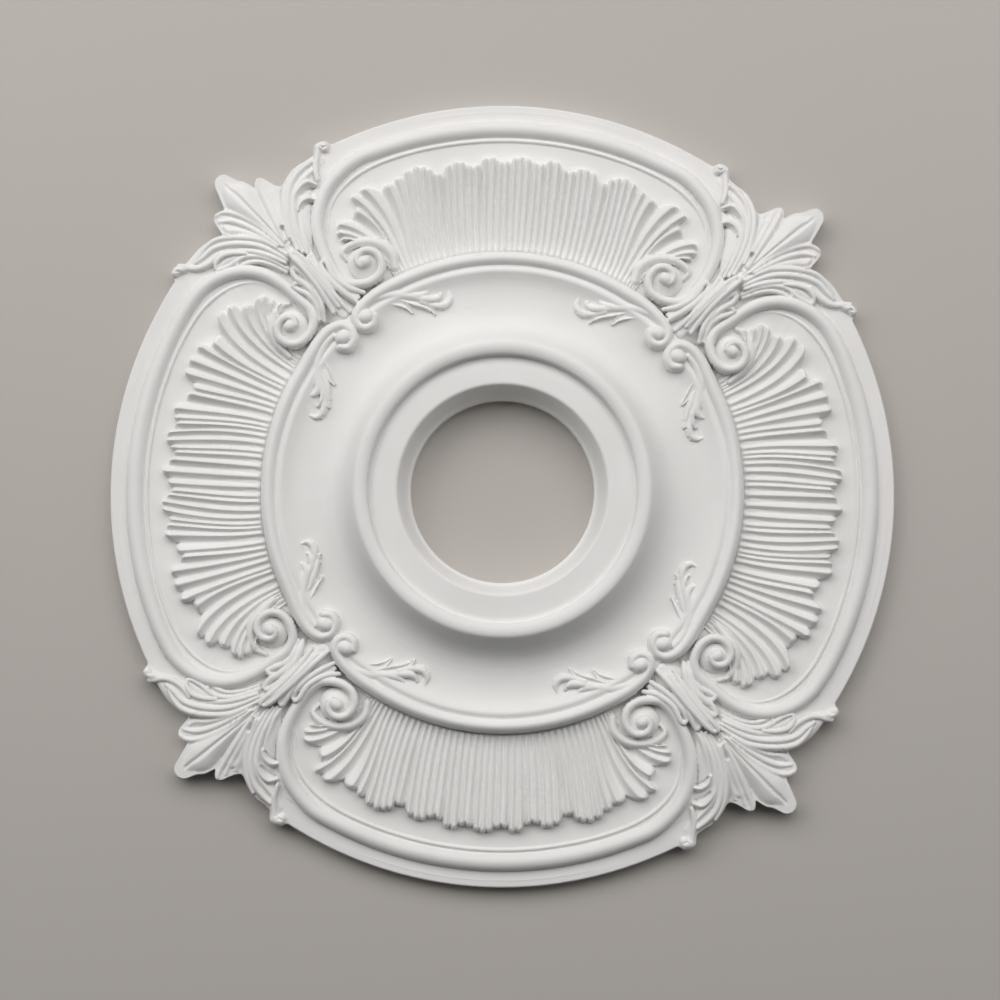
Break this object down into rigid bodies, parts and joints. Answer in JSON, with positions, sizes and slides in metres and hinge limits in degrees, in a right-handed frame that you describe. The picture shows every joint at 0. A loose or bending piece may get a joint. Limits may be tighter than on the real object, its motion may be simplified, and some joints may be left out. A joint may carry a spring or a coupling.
{
  "type": "ceiling rose",
  "caption": "Round moulded ceiling rose with a raised hub round the lamp hole, fluted shell panels in scroll frames and sprays of leaves at the corners.",
  "frame": {"origin": "on the rose's axis, in the plane of its flat back", "axes": "+Z along the axis, out of the carved face; +X and +Y through the middles of two neighbouring shell panels"},
  "size_m": [0.406, 0.406, 0.0285],
  "materials": {
    "primed_casting": "matte white primer over a moulded face, with small casting pinholes"
  },
  "bodies": {
    "root": {"rose": "primed_casting"}
  },
  "joints": []
}
